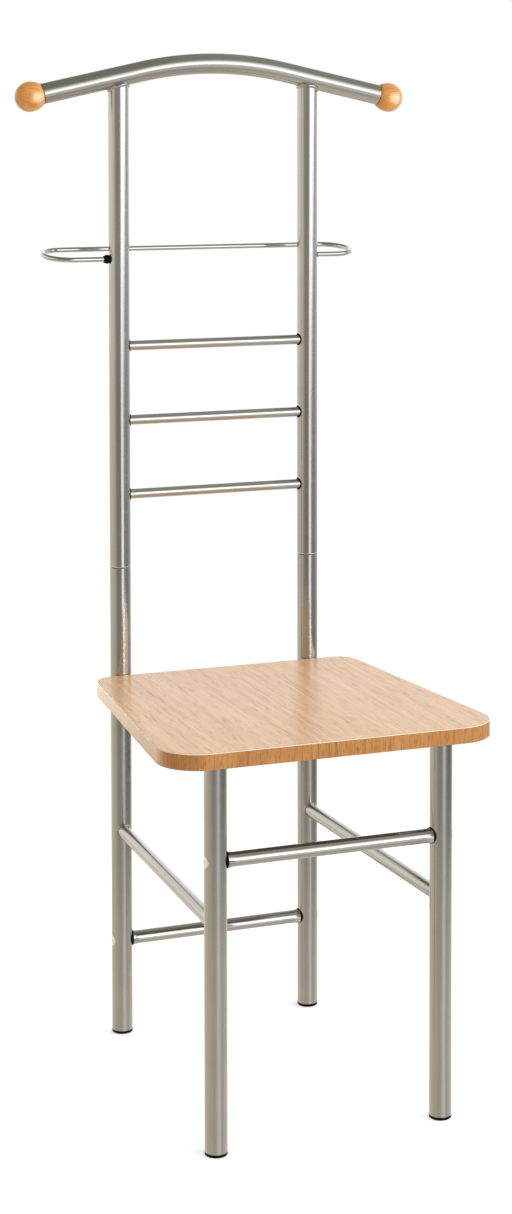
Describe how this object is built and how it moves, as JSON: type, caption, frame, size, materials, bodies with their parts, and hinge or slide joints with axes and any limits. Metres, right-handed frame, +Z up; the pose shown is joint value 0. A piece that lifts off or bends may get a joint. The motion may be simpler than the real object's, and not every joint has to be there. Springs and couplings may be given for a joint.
{
  "type": "clothes valet chair",
  "caption": "Clothes valet chair: a wooden seat on steel tube legs, with a tall back frame that has rungs, a wire trouser bar and a coat hanger bar with wooden knobs",
  "frame": {"origin": "On the floor, under the middle of the object's overall box", "axes": "+Z up; -Y is the front, where someone sits facing; +X is to the right seen from the front; the hanger bar runs along X"},
  "size_m": [0.499, 0.4452, 1.1924],
  "materials": {
    "frame_paint": "satin silver grey",
    "chrome_tube": "bright plated",
    "chrome_wire": "bright plated",
    "chrome_screw": "bright plated",
    "zinc_steel": "zinc plated",
    "black_plastic": "matte black",
    "seat_wood": "light beech veneer, satin varnish",
    "edge_wood": "beech edge strip, satin varnish",
    "knob_wood": "turned beech, gloss varnish"
  },
  "bodies": {
    "lower_frame": {"front_leg_left": "frame_paint", "front_leg_right": "frame_paint", "back_leg_left": "frame_paint", "back_leg_right": "frame_paint", "foot_front_left": "black_plastic", "foot_front_right": "black_plastic", "foot_back_left": "black_plastic", "foot_back_right": "black_plastic", "side_stretcher_left": "frame_paint", "side_stretcher_right": "frame_paint", "front_stretcher": "chrome_tube", "back_stretcher": "chrome_tube", "stretcher_plug_front_left": "black_plastic", "stretcher_plug_front_right": "black_plastic", "stretcher_plug_back_left": "black_plastic", "stretcher_plug_back_right": "black_plastic", "stretcher_nuts": "zinc_steel", "stretcher_screws": "chrome_screw", "seat_panel": "seat_wood", "seat_edge_band": "edge_wood", "seat_bracket_front_left": "frame_paint", "seat_bracket_front_right": "frame_paint", "seat_bracket_back_left": "frame_paint", "seat_bracket_back_right": "frame_paint", "seat_screws": "zinc_steel", "post_connector_left": "black_plastic", "post_connector_right": "black_plastic"},
    "back_frame": {"post_left": "frame_paint", "post_right": "frame_paint", "rung_top": "chrome_tube", "rung_middle": "chrome_tube", "rung_bottom": "chrome_tube", "hanger_bar": "frame_paint", "knob_left": "knob_wood", "knob_right": "knob_wood", "trouser_bar_bush_left": "black_plastic", "trouser_bar_bush_right": "black_plastic"},
    "trouser_bar": {"trouser_bar": "chrome_wire"}
  },
  "joints": [
    {"name": "back_frame_lift", "type": "slide", "parent": "lower_frame", "child": "back_frame", "axis": [0, 0, 1], "range_m": [0, 0.07]},
    {"name": "trouser_bar_pivot", "type": "hinge", "parent": "back_frame", "child": "trouser_bar", "pos_m": [0, 0.16145, 0.945], "axis": [1, 0, 0], "range_deg": [-83, 65]}
  ]
}
